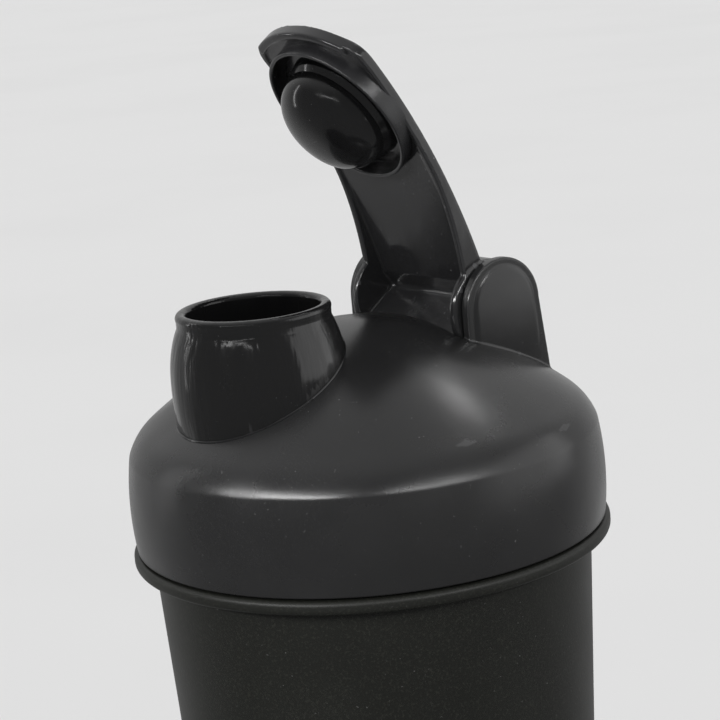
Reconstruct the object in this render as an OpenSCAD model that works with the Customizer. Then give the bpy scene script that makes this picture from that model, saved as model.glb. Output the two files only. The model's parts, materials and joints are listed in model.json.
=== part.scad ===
// Shaker bottle: a tapered cup with a screw lid, a spout, a flip cap and a wire whisk ball.
// The origin is the centre of the cup's foot, +Z is up, the spout is towards -Y and the
// hinge towards +Y. Heights of the lid's features are measured from the lid's lower edge.

/* [Cup] */
// Height of the top of the shoulder flange above the table
cup_h = 165.4; // [110:0.2:220]
// Outer diameter at the foot
foot_d = 73.5; // [60:0.5:84]
// Thickness of the cup's wall
cup_wall = 1.8; // [1.4:0.1:2.4]
// Thickness of the cup's floor
floor_t = 2.4; // [1.6:0.1:5]
// How far the middle of the base is lifted off the table
foot_lift = 1.6; // [0.8:0.1:4]
// How far the flange reaches past the lid's lower edge
flange_out = 0.9; // [0.4:0.1:3]
// Thickness of the flange
flange_t = 2.8; // [2:0.1:5]
// Height of the threaded neck above the flange
neck_h = 15; // [13:0.2:24]

/* [Lid] */
// Radius of the lid at its lower edge
lid_r = 48; // [38:0.5:62]
// Wall of the skirt at its lower edge
skirt_wall = 2.6; // [2:0.1:4]
// How far the skirt swells in its lower half
skirt_swell = 0.6; // [0:0.05:1]
// Height of the crease at the top of the skirt
crease_z = 19.6; // [19:0.2:30]
// Height from the crease to the shoulder, where the dome begins
bevel_h = 5.4; // [3:0.2:9]
// How far the shoulder lies inside the lid's lower edge
shoulder_in = 4.6; // [4:0.2:8]
// Height of the dome above the shoulder
dome_rise = 18; // [10:0.5:30]
// Thickness of the dome
dome_t = 2.4; // [1.8:0.1:4]

/* [Thread] */
// Rise of the lid in one turn
thread_lead = 6; // [5:0.5:8]
// Turns of the thread on the neck, and on the lid
thread_turns = 1.25; // [1:0.25:1.25]
// Height of the thread's ridge
thread_depth = 1.3; // [0.8:0.1:1.6]
// Gap between the neck's thread and the lid's
thread_gap = 0.35; // [0.25:0.05:0.6]

/* [Spout] */
// Radius of the spout's mouth
spout_bore_r = 13.1; // [10:0.1:16]
// Wall of the spout at its rim
spout_wall = 2.1; // [1.6:0.1:3]
// How far the belly of the spout stands out past its rim
spout_belly = 2.2; // [0.5:0.1:4]
// Height of the spout's rim above the top of the dome
spout_h = 7.2; // [5:0.2:16]
// Height of the bead round the rim
bead_h = 3; // [2.4:0.1:5]

/* [Hinge] */
// Radius of the flip cap's hinge barrel
barrel_r = 10; // [8:0.1:12]
// Height of the hinge axis above the shoulder
hinge_up = 17.3; // [15:0.1:22]
// Radius of the hinge pins on the flip cap
pin_r = 2.5; // [1.5:0.1:3.2]
// Gap between a hinge pin and its socket
pin_gap = 0.08; // [0.04:0.01:0.1]
// Thickness of each hinge ear
ear_t = 2.95; // [2.6:0.05:4]
// Gap between the moving cap and the lid
move_gap = 0.4; // [0.3:0.05:0.8]

/* [Flip cap] */
// Angle that the flip cap stands open, from closed
open_angle = 55.5; // [0:0.5:125]
// Thickness of the flip cap's plate
plate_t = 2; // [1.4:0.1:3]
// Thickness of the wall under the plate's edge
rim_t = 1.5; // [1:0.1:2.5]
// Depth of that wall round the head
rim_depth = 2.4; // [2:0.1:4]
// Depth of that wall at the hinge
arm_depth = 5.6; // [4:0.1:8]
// Thickness of the ring that closes round the spout's rim
ring_t = 0.85; // [0.8:0.05:1.6]
// Gap between the plug and the spout's mouth
plug_gap = 0.5; // [0.3:0.1:2]
// Depth of the plug's dome
plug_depth = 7.9; // [4:0.1:10]
// Depth of the thumb tab below the top of the plate
tab_depth = 3.7; // [2.5:0.1:6]
// Width of the thumb tab
tab_w = 27; // [16:0.5:30]

/* [Seal and whisk ball] */
// Thickness of the seal ring
seal_t = 1.8; // [1.2:0.1:3]
// Radius of the whisk ball, to the middle of its wire
ball_r = 23; // [16:0.5:28]
// Diameter of the whisk's wire
wire_d = 2.2; // [1.6:0.1:3]
// Turns of wire round the whisk ball
wire_turns = 8; // [5:1:10]

/* [Hidden] */
$fn = 96;
far = 200;

// Cup
foot_r = foot_d / 2;
flange_r = lid_r + flange_out;
skirt_in_r = lid_r - skirt_wall;
neck_r = skirt_in_r - thread_gap - thread_depth;
neck_wall = 1.9;
neck_in_r = neck_r - neck_wall;
cup_top_r = neck_r + 1.1;
foot_round = 3;
foot_ring_w = 5;
inside_round = 6;
rim_round = 0.6;
flange_round = 0.9;

// Lid, with heights from its lower edge
lid_gap = 0.3;
lid_z = cup_h + lid_gap;
swell_z = 8.6;
dome_power = 1.9;
shoulder_r = lid_r - shoulder_in;
shoulder_z = crease_z + bevel_h;
dome_z = shoulder_z + dome_rise;
seal_play = 0.25;
neck_top = neck_h - lid_gap;
seat_z = neck_top + 2 * seal_play + seal_t;
lip_play = 0.65;
lip_t = 1.7;
lip_r = neck_in_r - lip_play;
lip_in_r = lip_r - lip_t;
lip_z = neck_top - 2.2;

// Thread: a ridge's width at its foot and its crest, and the height of its first turn.
// The lid's ridge runs below the neck's, clear of it by thread_play when screwed down.
ridge_foot_w = 2.6;
ridge_crest_w = 1;
ridge_sink = 0.5;
thread_z = 4.6;
thread_play = 0.3;
thread_offset = thread_play
    + (ridge_foot_w + ridge_crest_w) / 2
    - (ridge_foot_w - ridge_crest_w) / 2 * thread_gap / thread_depth;

// Spout
rim_z = dome_z + spout_h;
spout_r = spout_bore_r + spout_wall;
belly_r = spout_r + spout_belly;
belly_drop = 15.5;
spout_inset = 1.9;
spout_y = -(shoulder_r - belly_r - spout_inset);
spout_low = shoulder_z - 1;
land_h = 7;

// Hinge
hinge_back = 20.6;
hinge_y = shoulder_r - hinge_back;
hinge_z = shoulder_z + hinge_up;
well_r = barrel_r + move_gap;
well_wall = 2.2;
ear_r = barrel_r - 0.3;
ear_y = hinge_y + 1.3;
ear_z = hinge_z + 0.6;
ear_slope = 0.12;
ear_step = 0.6;
ear_step_t = 0.85;
socket_floor = 0.85;

// Flip cap, drawn closed and then turned open
ring_gap = 0.5;
plate_bite = 0.3;
ring_in_r = spout_r + ring_gap;
ring_r = ring_in_r + ring_t;
ring_z = rim_z - bead_h;
plug_r = spout_bore_r - plug_gap;
rim_gap = 0.45;
cap_z = rim_z + rim_gap + plate_t;
cap_half_w = ring_r - 0.25;
barrel_half_w = cap_half_w + 0.3;
ear_in_x = barrel_half_w + move_gap;
ear_out_x = ear_in_x + ear_t;
barrel_wall = 2.4;
cheek_t = 1.8;
web_y = hinge_y - 1.1;
web_t = 2;
web_top_z = hinge_z + 1.5;
barrel_open_to = 30;
arm_root_up = 4.9;
arm_root_z = hinge_z + arm_root_up;
barrel_front_y = hinge_y - barrel_r;
arm_flat_y = spout_y - 2.9;
arm_deep_y = spout_y + ring_r - 0.5;
head_r = 26.1;
head_y = spout_y + 6.2;
tab_t = 1.8;
plug_land = 1.8;
plug_step = 0.9;
pin_end_gap = 0.3;

// Whisk ball
wire_r = wire_d / 2;
ball_gap = 0.3;
ball_z = foot_lift + floor_t + ball_gap + wire_r + ball_r;

// Points on an arc about (cx, cy), from angle a0 to angle a1
function arc(cx, cy, r, a0, a1, n = 8) =
    [for (i = [0:n]) let (a = a0 + (a1 - a0) * i / n) [cx + r * cos(a), cy + r * sin(a)]];

// Radius of the cup's outer wall at height z
function cup_wall_r(z) = foot_r + (cup_top_r - foot_r) * z / (cup_h - flange_t);

// Radius of the skirt's outer wall, which swells gently below its middle
function skirt_r(z) = lid_r + skirt_swell * (1 - pow((z - swell_z) / swell_z, 2));

// Height of the dome's outer surface at radius r
function dome_at(r) = shoulder_z + dome_rise * (1 - pow(r / shoulder_r, dome_power));

// Radius of the spout's outer wall, at a depth below its rim
function spout_wall_r(t) = t < belly_drop
    ? belly_r - (belly_r - spout_r) * pow((belly_drop - t) / (belly_drop - bead_h), 2.6)
    : belly_r - 0.6 * pow((t - belly_drop) / 8.5, 2);

// Height of the closed flip cap's top along y
function arm_top(y) =
    cap_z - (cap_z - arm_root_z) * pow((y - arm_flat_y) / (barrel_front_y - arm_flat_y), 2);

// Depth of the wall under the flip cap's edge along y
function arm_rim(y) = y < arm_deep_y
    ? rim_depth
    : rim_depth
        + (arm_depth - rim_depth) * pow((y - arm_deep_y) / (barrel_front_y - arm_deep_y), 1.6);

// ---- shared shapes -------------------------------------------------------------------

// A helical ridge on a wall of radius wall_r. out = 1 stands outwards, out = -1 inwards.
module ridge(wall_r, out, z, lead, turns, depth) {
    steps = round(turns * 48);
    fade = 5;
    sink = ridge_sink;
    foot_half = ridge_foot_w / 2;
    crest_half = ridge_crest_w / 2;
    function share(i) = min(1, i / fade, (steps - i) / fade);
    function crest(i) = wall_r + out * (depth * share(i) - 0.2 * (1 - share(i)));
    points = [for (i = [0:steps])
        let (a = i * 360 * turns / steps, h = z + lead * turns * i / steps, c = crest(i))
        for (p = [
            [wall_r - out * sink, h - foot_half],
            [c, h - crest_half],
            [c, h + crest_half],
            [wall_r - out * sink, h + foot_half]
        ]) [p[0] * cos(a), p[0] * sin(a), p[1]]];
    sides = [for (i = [0:steps - 1], k = [0:3])
        let (a = 4 * i + k, b = 4 * i + (k + 1) % 4)
        out > 0 ? [a, b, b + 4, a + 4] : [a, a + 4, b + 4, b]];
    last = 4 * steps;
    ends = out > 0
        ? [[3, 2, 1, 0], [last, last + 1, last + 2, last + 3]]
        : [[0, 1, 2, 3], [last + 3, last + 2, last + 1, last]];
    polyhedron(points, concat(sides, ends));
}

// Extrudes a (y, z) outline along x, from x0 to x1
module along_x(x0, x1) {
    translate([x0, 0, 0])
        rotate([90, 0, 90])
            linear_extrude(x1 - x0) children();
}

// A cylinder along x about the hinge axis
module hinge_cylinder(r, x0, x1) {
    translate([x0, hinge_y, hinge_z])
        rotate([0, 90, 0])
            cylinder(r = r, h = x1 - x0);
}

// ---- cup ----------------------------------------------------------------------------

module cup_body() {
    under = cup_h - flange_t;
    inner_r = cup_wall_r(foot_lift + floor_t + inside_round) - cup_wall;
    outside = concat(
        [[0, foot_lift], [foot_r - foot_ring_w - foot_lift, foot_lift], [foot_r - foot_ring_w, 0]],
        arc(foot_r - foot_round, foot_round, foot_round, -90, 0),
        [[cup_top_r, under]],
        arc(flange_r - flange_round, under + flange_round, flange_round, -90, 0, 4),
        arc(flange_r - flange_round, cup_h - flange_round, flange_round, 0, 90, 4),
        [[neck_r, cup_h]],
        arc(neck_r - rim_round, cup_h + neck_h - rim_round, rim_round, 0, 90, 4)
    );
    inside = concat(
        arc(neck_in_r + rim_round, cup_h + neck_h - rim_round, rim_round, 90, 180, 4),
        [[neck_in_r, cup_h], [cup_top_r - cup_wall, under - 2]],
        arc(inner_r - inside_round, foot_lift + floor_t + inside_round, inside_round, 0, -90),
        [[0, foot_lift + floor_t]]
    );
    rotate_extrude() polygon(concat(outside, inside));
}

module cup() {
    color("#24261f") {
        cup_body();
        ridge(neck_r, 1, lid_z + thread_z, thread_lead, thread_turns, thread_depth);
    }
}

// ---- lid ----------------------------------------------------------------------------

// The lid's outer form, solid
module lid_outside() {
    edge = 0.5;
    swell_n = 8;
    dome_n = 15;
    bevel_n = 6;
    bevel_bulge = 0.7;
    skirt = [for (i = [1:swell_n]) let (z = edge + (crease_z - edge) * i / swell_n)
        [skirt_r(z), z]];
    top = skirt_r(crease_z);
    bevel = [for (i = [1:bevel_n])
        let (s = i / bevel_n, out = bevel_bulge * sin(180 * s))
        [top + (shoulder_r - top) * s + out, crease_z + bevel_h * s + out]];
    dome = [for (i = [dome_n - 1:-1:0]) let (r = shoulder_r * i / dome_n) [r, dome_at(r)]];
    rotate_extrude()
        polygon(concat([[0, 0], [lid_r - edge, 0], [skirt_r(edge), edge]], skirt, bevel, dome));
}

// The hollow under the lid, with the lip that plugs the cup's neck left standing
module lid_hollow() {
    dome_n = 12;
    dome = [for (i = [dome_n:-1:0]) let (r = lip_in_r * i / dome_n) [r, dome_at(r) - dome_t]];
    rotate_extrude()
        polygon(concat(
            [[0, -1], [skirt_in_r, -1], [skirt_in_r, seat_z], [lip_r, seat_z],
             [lip_r, lip_z], [lip_in_r, lip_z]],
            dome
        ));
}

module spout_outside() {
    bead_round = 0.8;
    n = 12;
    low = rim_z - spout_low;
    bead = concat(
        arc(spout_bore_r + bead_round, rim_z - bead_round, bead_round, 180, 90, 4),
        arc(spout_r - bead_round, rim_z - bead_round, bead_round, 90, 0, 4)
    );
    wall = [for (i = [0:n]) let (t = bead_h + (low - bead_h) * i / n) [spout_wall_r(t), rim_z - t]];
    translate([0, spout_y, 0])
        rotate_extrude()
            polygon(concat([[0, rim_z - 2 * bead_round]], bead, wall, [[0, spout_low]]));
}

module spout_bore() {
    flare = 1.9;
    translate([0, spout_y, rim_z - land_h])
        cylinder(r = spout_bore_r, h = land_h + 1);
    translate([0, spout_y, spout_low - 1])
        cylinder(r1 = spout_bore_r + flare, r2 = spout_bore_r, h = rim_z - land_h - spout_low + 1);
}

// The arched outline of a hinge ear, shrunk by inset
module ear_outline(inset) {
    r = ear_r - inset;
    foot = shoulder_z;
    drop = ear_z - foot;
    translate([ear_y, ear_z])
        circle(r = r);
    polygon([
        [ear_y - r, ear_z], [ear_y + r, ear_z],
        [ear_y + r + ear_slope * drop, foot], [ear_y - r, foot]
    ]);
}

module ears() {
    for (side = [0, 1]) mirror([side, 0, 0]) {
        along_x(ear_in_x, ear_out_x - ear_step_t) ear_outline(0);
        along_x(ear_out_x - ear_step_t, ear_out_x) ear_outline(ear_step);
    }
}

// Blind sockets for the flip cap's pins, one in each ear
module pin_sockets() {
    for (side = [0, 1]) mirror([side, 0, 0])
        hinge_cylinder(pin_r + pin_gap, ear_in_x - 1, ear_out_x - socket_floor);
}

module lid() {
    color("#3a3a3d")
        translate([0, 0, lid_z]) {
            difference() {
                union() {
                    lid_outside();
                    spout_outside();
                    ears();
                }
                difference() {
                    lid_hollow();
                    intersection() {
                        lid_outside();
                        hinge_cylinder(
                            well_r + well_wall, -ear_in_x - well_wall, ear_in_x + well_wall);
                    }
                }
                spout_bore();
                hinge_cylinder(well_r, -ear_in_x, ear_in_x);
                pin_sockets();
            }
            ridge(skirt_in_r, -1, thread_z - thread_offset, thread_lead, thread_turns, thread_depth);
        }
}

// ---- seal ring ----------------------------------------------------------------------

module lid_seal() {
    side_play = 0.3;
    round_r = 0.4;
    inner = lip_r + side_play;
    outer = skirt_in_r - side_play;
    low = neck_top + seal_play;
    color("#77797c")
        translate([0, 0, lid_z])
            rotate_extrude()
                polygon(concat(
                    arc(inner + round_r, low + round_r, round_r, 180, 270, 4),
                    arc(outer - round_r, low + round_r, round_r, 270, 360, 4),
                    arc(outer - round_r, low + seal_t - round_r, round_r, 0, 90, 4),
                    arc(inner + round_r, low + seal_t - round_r, round_r, 90, 180, 4)
                ));
}

// ---- flip cap -----------------------------------------------------------------------

// Plan of the flip cap: straight sides and a bowed front, shrunk by inset, up to end_y
module cap_plan(inset, end_y) {
    half = cap_half_w - inset;
    intersection() {
        translate([-half, head_y - head_r])
            square([2 * half, end_y - head_y + head_r]);
        union() {
            translate([0, head_y])
                circle(r = head_r - inset);
            translate([-half, head_y])
                square([2 * half, end_y - head_y]);
        }
    }
}

// The flip cap's outer form: its plan, between its top and the lower edge of its walls
module cap_outside() {
    n = 16;
    y0 = head_y - head_r - 1;
    y1 = barrel_front_y + 3;
    function y_at(i) = y0 + (y1 - y0) * i / n;
    top = [for (i = [0:n]) [y_at(i), arm_top(y_at(i))]];
    low = [for (i = [n:-1:0]) let (y = y_at(i)) [y, arm_top(y) - arm_rim(y)]];
    intersection() {
        translate([0, 0, hinge_z - barrel_r])
            linear_extrude(far) cap_plan(0, y1);
        along_x(-far, far) polygon(concat(top, low));
    }
}

// The space under the plate, which runs on into the barrel up to the web at its axis
module tray_space() {
    n = 18;
    y0 = head_y - head_r - 1;
    low_z = hinge_z - barrel_r - 1;
    function y_at(i) = y0 + (web_y - y0) * i / n;
    roof = [for (i = [0:n]) let (y = y_at(i)) [y, max(arm_top(y) - plate_t, web_top_z)]];
    intersection() {
        translate([0, 0, low_z])
            linear_extrude(far) cap_plan(rim_t, web_y);
        along_x(-far, far) polygon(concat(roof, [[web_y, low_z], [y0, low_z]]));
    }
}

// The turned-down lip that a thumb pushes up
module thumb_tab() {
    intersection() {
        translate([0, 0, cap_z - tab_depth])
            linear_extrude(tab_depth - 1)
                difference() {
                    cap_plan(0, arm_deep_y);
                    translate([0, head_y])
                        circle(r = head_r - tab_t);
                }
        translate([-tab_w / 2, head_y - head_r - 1, 0])
            cube([tab_w, head_r, far]);
    }
}

// The hollow behind the barrel's web, open at the back
module barrel_space() {
    inner_x = barrel_half_w - cheek_t;
    along_x(-inner_x, inner_x)
        difference() {
            translate([hinge_y, hinge_z])
                union() {
                    circle(r = barrel_r - barrel_wall);
                    polygon(concat([[0, 0]], arc(0, 0, 2 * barrel_r, -90, barrel_open_to, 6)));
                }
            translate([hinge_y - 2 * barrel_r, hinge_z - 2 * barrel_r])
                square([
                    web_y + web_t - hinge_y + 2 * barrel_r,
                    web_top_z + web_t - hinge_z + 2 * barrel_r
                ]);
        }
}

module pins() {
    for (side = [0, 1]) mirror([side, 0, 0])
        hinge_cylinder(pin_r, barrel_half_w - cheek_t / 2, ear_out_x - socket_floor - pin_end_gap);
}

module ring_and_plug() {
    n = 10;
    fullness = 0.85;
    root_z = rim_z + rim_gap + plate_bite;
    dome_r = plug_r - plug_step;
    start_z = rim_z - plug_land - plug_step;
    dome = [for (i = [0:n]) let (a = 90 * i / n)
        [dome_r * pow(cos(a), fullness), start_z - plug_depth * pow(sin(a), fullness)]];
    translate([0, spout_y, 0]) {
        difference() {
            translate([0, 0, ring_z])
                cylinder(r = ring_r, h = root_z - ring_z);
            translate([0, 0, ring_z - 1])
                cylinder(r = ring_in_r, h = rim_z + rim_gap - ring_z + 1);
        }
        rotate_extrude()
            polygon(concat([[0, root_z], [plug_r, root_z], [plug_r, rim_z - plug_land]], dome));
    }
}

module flip_cap_closed() {
    difference() {
        union() {
            cap_outside();
            hinge_cylinder(barrel_r, -barrel_half_w, barrel_half_w);
        }
        tray_space();
        barrel_space();
        translate([0, spout_y, ring_z - 5])
            cylinder(r = ring_in_r, h = rim_z + rim_gap - ring_z + 5);
    }
    thumb_tab();
    ring_and_plug();
    pins();
}

module flip_cap() {
    color("#1c1c1e")
        translate([0, hinge_y, lid_z + hinge_z])
            rotate([-open_angle, 0, 0])
                translate([0, -hinge_y, -hinge_z])
                    flip_cap_closed();
}

// ---- whisk ball ---------------------------------------------------------------------

// One wire wound into a ball, from pole to pole
module whisk_ball() {
    sides = 8;
    steps = wire_turns * 20;
    pole = 14;
    function centre(s) =
        let (tilt = pole + (180 - 2 * pole) * s, turn = 360 * wire_turns * s)
        ball_r * [sin(tilt) * cos(turn), sin(tilt) * sin(turn), -cos(tilt)];
    function unit(v) = v / norm(v);
    points = [for (i = [0:steps])
        let (
            s = i / steps,
            c = centre(s),
            out = unit(c),
            along = unit(centre(s + 0.001) - centre(s - 0.001)),
            across = unit(cross(along, out))
        )
        for (k = [0:sides - 1])
            let (a = 360 * k / sides)
            c + wire_r * (cos(a) * out + sin(a) * across)];
    walls = [for (i = [0:steps - 1], k = [0:sides - 1])
        let (a = sides * i + k, b = sides * i + (k + 1) % sides)
        [a, b, b + sides, a + sides]];
    last = sides * steps;
    first_end = [for (k = [sides - 1:-1:0]) k];
    last_end = [for (k = [0:sides - 1]) last + k];
    color("#c9ccd0")
        translate([0, 0, ball_z])
            polyhedron(points, concat(walls, [first_end, last_end]));
}

cup();
lid();
lid_seal();
flip_cap();
whisk_ball();
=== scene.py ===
"""Looks of the shaker bottle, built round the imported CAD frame. Sizes are in millimetres
until a mesh is made; the lid's heights are measured from its lower edge, as in the CAD."""

import json
import math

import bpy
import numpy as np
from mathutils import Matrix, Vector


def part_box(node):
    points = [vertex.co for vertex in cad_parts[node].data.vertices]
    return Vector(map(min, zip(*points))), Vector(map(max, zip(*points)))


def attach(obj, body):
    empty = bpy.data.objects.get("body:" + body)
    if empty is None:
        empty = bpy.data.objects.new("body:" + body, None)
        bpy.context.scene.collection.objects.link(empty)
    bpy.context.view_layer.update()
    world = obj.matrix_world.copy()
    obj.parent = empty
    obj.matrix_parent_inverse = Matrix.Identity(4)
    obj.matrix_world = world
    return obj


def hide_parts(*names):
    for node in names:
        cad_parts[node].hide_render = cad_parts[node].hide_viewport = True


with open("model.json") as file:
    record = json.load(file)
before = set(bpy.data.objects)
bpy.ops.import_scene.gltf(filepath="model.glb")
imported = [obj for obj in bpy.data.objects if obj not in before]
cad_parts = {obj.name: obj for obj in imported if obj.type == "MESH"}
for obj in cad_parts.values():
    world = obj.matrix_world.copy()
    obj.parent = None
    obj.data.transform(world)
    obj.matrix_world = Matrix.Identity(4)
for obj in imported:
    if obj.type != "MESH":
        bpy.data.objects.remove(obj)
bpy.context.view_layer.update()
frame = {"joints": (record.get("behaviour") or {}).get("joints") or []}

MM = 0.001

# ---- sizes, in millimetres ----------------------------------------------------------

# From the frame. Heights on the lid are measured from LID_Z, its lower edge.
LID_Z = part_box("lid")[0].z / MM
CUP_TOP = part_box("cup")[1].z / MM
FLANGE_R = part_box("cup")[1].x / MM
BALL_Z = (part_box("whisk_ball")[0].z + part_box("whisk_ball")[1].z) / 2 / MM
CAP_JOINT = next(j for j in frame["joints"] if j["name"] == "cap_flip")
HINGE_Y = CAP_JOINT["pos_m"][1] / MM
HINGE_Z = CAP_JOINT["pos_m"][2] / MM - LID_Z
OPEN_ANGLE = -math.radians(CAP_JOINT["range_deg"][0])

# Lid: skirt, crease, bevel, shoulder and dome, then the seal's seat and the plug lip.
LID_R = 48.0
SKIRT_IN_R = 45.4
SKIRT_SWELL = 0.6
SWELL_Z = 8.6
LID_EDGE = 0.45
CREASE_Z = 19.6
CREASE_ROUND = 0.6
SHOULDER_R = 43.4
SHOULDER_Z = 25.0
BEVEL_SLOPE = 1.25
BEVEL_BULGE = 0.38
DOME_RISE = 18.0
DOME_POWER = 1.9
DOME_T = 2.4
SEAT_Z = 17.0
LIP_R = 41.2
LIP_IN_R = 39.5
LIP_Z = 12.5
LIP_ROUND = 0.5

# Spout: a belly that draws in to a rounded bead at the rim. Drops are down from the rim.
RIM_Z = 50.2
SPOUT_Y = -24.1
SPOUT_BORE_R = 13.1
SPOUT_R = 15.2
SPOUT_LIP = 1.05
BORE_FLARE = 1.9
BELLY_R = 17.4
BELLY_DROP = 15.5
BELLY_POWER = 2.6
BELLY_TUCK = 0.6
TUCK_DROP = 8.5
BEAD_H = 3.0
LAND_H = 7.0
FOOT_BEAD_R = 0.28

# Hinge: the cap's barrel and pins, the well that the barrel turns in, and the lid's ears.
BARREL_R = 10.0
BARREL_WALL = 2.4
BARREL_HALF_W = 16.6
BARREL_OPEN_TO = 30
CHEEK_IN_X = BARREL_HALF_W - 1.8
WEB_Y = HINGE_Y - 1.1
WEB_T = 2.0
WEB_TOP_Z = HINGE_Z + 1.5
PIN_R = 2.5
PIN_GAP = 0.08
WELL_R = 10.4
WELL_WALL = 2.2
EAR_IN_X = 17.0
EAR_OUT_X = 19.95
EAR_R = 9.7
EAR_Y = HINGE_Y + 1.3
EAR_Z = HINGE_Z + 0.6
EAR_SLOPE = 0.12
SOCKET_X = 19.1

# Flip cap, as it lies closed: plate, walls, snap ring, plug and thumb tab.
CAP_Z = 52.65
CAP_HALF_W = 16.3
PLATE_T = 2.0
RIM_T = 1.5
RIM_DEPTH = 2.4
ARM_DEPTH = 5.6
ARM_FLAT_Y = SPOUT_Y - 2.9
ARM_DEEP_Y = -8.05
ARM_ROOT_Z = HINGE_Z + 4.9
BARREL_FRONT_Y = HINGE_Y - BARREL_R
HEAD_R = 26.1
HEAD_Y = SPOUT_Y + 6.2
RING_IN_R = 15.7
RING_R = 16.55
RING_Z = RIM_Z - BEAD_H
RING_ROOT_Z = RIM_Z + 0.75
RING_SPACE = 0.45
PLUG_R = 12.6
PLUG_LAND = 1.8
PLUG_STEP = 0.9
PLUG_DEPTH = 7.9
PLUG_FULLNESS = 0.85
TAB_DEPTH = 3.7
TAB_HALF_W = 13.5
TAB_T = 1.8

# Cup: foot ring, tapered wall, flange and neck.
FOOT_R = 36.75
FOOT_LIFT = 1.6
FOOT_ROUND = 3.0
FLOOR_T = 2.4
FLOOR_ROUND = 6
CUP_WALL = 1.8
CUP_TOP_R = 44.85
FLANGE_TOP = CUP_TOP - 15.0
FLANGE_T = 2.8
FLANGE_ROUND = 1.0
NECK_R = 43.75
NECK_IN_R = 41.85
NECK_ROUND = 0.6

# Threads. The lid's ridge starts THREAD_OFFSET below the cup's, so that it lies under it.
THREAD_LEAD = 6.0
THREAD_TURNS = 1.25
THREAD_DEPTH = 1.3
THREAD_HALF_W = 1.3
THREAD_FLANK = 0.8
THREAD_Z = 4.6
THREAD_OFFSET = 1.8846

# Whisk ball: the wire, and the angle at each pole that it leaves open.
BALL_R = 23.0
WIRE_R = 1.1
WIRE_TURNS = 8
POLE_ANGLE = math.radians(14)

# Mesh fineness: sections of a turned piece, net cells, and angles above which edges are sharp.
SEGMENTS = 192
EAR_CELL = 0.28
CAP_CELL = 0.3
SHARP_ANGLE = 35.0
CUT_SHARP_ANGLE = 30.0

# The camera, matched to the photo: compass angle, elevation and roll in degrees.
CAMERA_ANGLES = (52.47, 12.55, 5.22)
CAMERA_AIM = (0.44, 0.58, LID_Z + 34.24)
CAMERA_DISTANCE = 454
LENS = 112.2
SENSOR = 36

BACKDROP = (0.74, 0.74, 0.745)
FLOOR_HALF = 6000
LIGHTS_AIM = (0, 0, LID_Z + 30)


# ---- mesh helpers -------------------------------------------------------------------

def arc(cx, cz, r, a0, a1, n):
    """n + 1 points on an arc about (cx, cz), from angle a0 to a1 in degrees."""
    angles = np.radians(np.linspace(a0, a1, n + 1))
    return [(cx + r * math.cos(a), cz + r * math.sin(a)) for a in angles]


def line(p, q, n):
    """n points from p towards q, without the last one."""
    return [(p[0] + (q[0] - p[0]) * i / n, p[1] + (q[1] - p[1]) * i / n) for i in range(n)]


def make_object(name, points, faces, sharp_angle=SHARP_ANGLE):
    """A smooth-shaded mesh object from points in millimetres."""
    mesh = bpy.data.meshes.new(name)
    mesh.from_pydata((np.asarray(points) * MM).tolist(), [], [list(map(int, f)) for f in faces])
    mesh.validate()
    mesh.update()
    obj = bpy.data.objects.new(name, mesh)
    bpy.context.scene.collection.objects.link(obj)
    shade(obj, sharp_angle)
    return obj


def shade(obj, sharp_angle):
    """Smooth shading, with sharp edges above an angle, or with none."""
    obj.data.shade_smooth()
    if sharp_angle is not None:
        obj.data.set_sharp_from_angle(angle=math.radians(sharp_angle))


def revolve(name, profile, centre=(0.0, 0.0), closed=False, bump=None):
    """Turns an (r, z) profile about a vertical axis. bump(angle, r, z) shifts the radius."""
    profile = np.array(profile, float)
    turn = np.linspace(0, 2 * np.pi, SEGMENTS, endpoint=False)
    r = np.repeat(profile[:, 0:1], SEGMENTS, 1)
    z = np.repeat(profile[:, 1:2], SEGMENTS, 1)
    if bump is not None:
        r = r + bump(turn[None, :], r, z)
    points = np.stack([r * np.cos(turn) + centre[0], r * np.sin(turn) + centre[1], z], -1)
    points = points.reshape(-1, 3)
    count = len(profile)
    faces = []
    for i in range(count if closed else count - 1):
        here, after = i * SEGMENTS, (i + 1) % count * SEGMENTS
        for k in range(SEGMENTS):
            m = (k + 1) % SEGMENTS
            faces.append([here + k, here + m, after + m, after + k])
    if not closed:
        points, faces = close_poles(points, faces, profile)
    return make_object(name, points, faces)


def close_poles(points, faces, profile):
    """Merges the ring of points at each end of a profile that lies on the axis."""
    merged_into = {}
    for row in (0, len(profile) - 1):
        if profile[row][0] < 1e-6:
            first = row * SEGMENTS
            merged_into.update({first + k: first for k in range(SEGMENTS)})
    merged = []
    for face in faces:
        corners = [merged_into.get(v, v) for v in face]
        merged.append(list(dict.fromkeys(corners)))
    used = sorted({v for face in merged for v in face})
    index = {v: i for i, v in enumerate(used)}
    return points[used], [[index[v] for v in face] for face in merged]


def smooth_min(a, b, k):
    """The lesser of two fields, with the corner between them rounded over a width of k."""
    h = np.maximum(k - np.abs(a - b), 0) / k
    return np.minimum(a, b) - h * h * k / 4


def smooth_max(a, b, k):
    return -smooth_min(-a, -b, k)


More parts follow.
